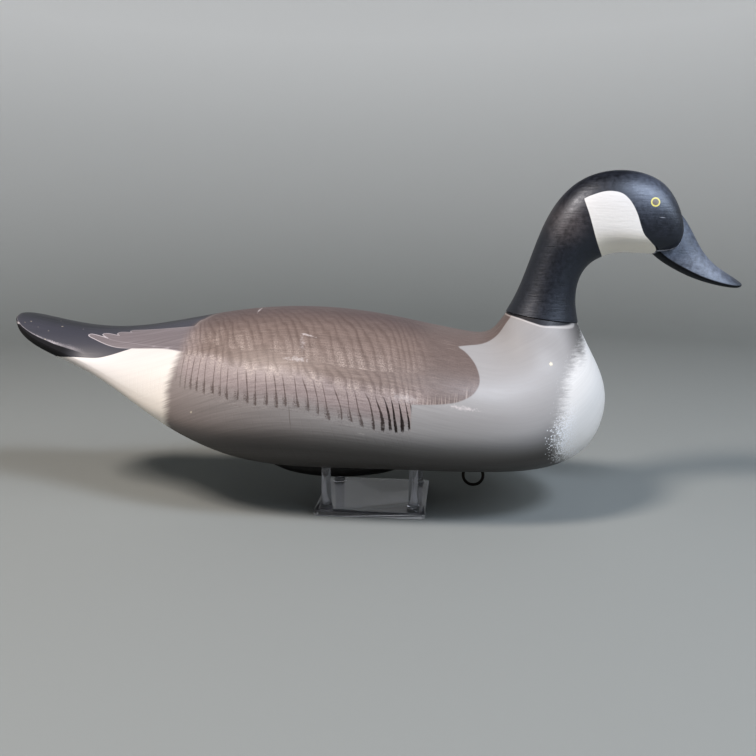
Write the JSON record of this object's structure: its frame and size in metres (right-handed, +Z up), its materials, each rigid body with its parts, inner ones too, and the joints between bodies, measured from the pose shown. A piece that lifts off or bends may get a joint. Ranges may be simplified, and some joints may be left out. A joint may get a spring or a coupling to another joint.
{
  "type": "goose decoy",
  "caption": "Carved and painted wooden goose decoy with a cast keel weight and a line ring under its belly, resting on a small clear stand with four posts.",
  "frame": {"origin": "on the surface that the stand rests on, under the middle of the whole object's box", "axes": "+X from the tail to the bill, along the bird; +Y to the bird's left side; +Z up"},
  "size_m": [0.668, 0.2074, 0.3063],
  "materials": {
    "painted_body": "hand-painted, satin, brush marks",
    "painted_head": "hand-painted black, satin",
    "cast_weight": "dark, dull, cast",
    "dark_iron": "dark, dull wire",
    "clear_acrylic": "clear, polished"
  },
  "bodies": {
    "root": {"body": "painted_body", "head_and_neck": "painted_head", "ballast_weight": "cast_weight", "line_ring": "dark_iron", "ring_staple": "dark_iron", "display_stand": "clear_acrylic"}
  },
  "joints": []
}
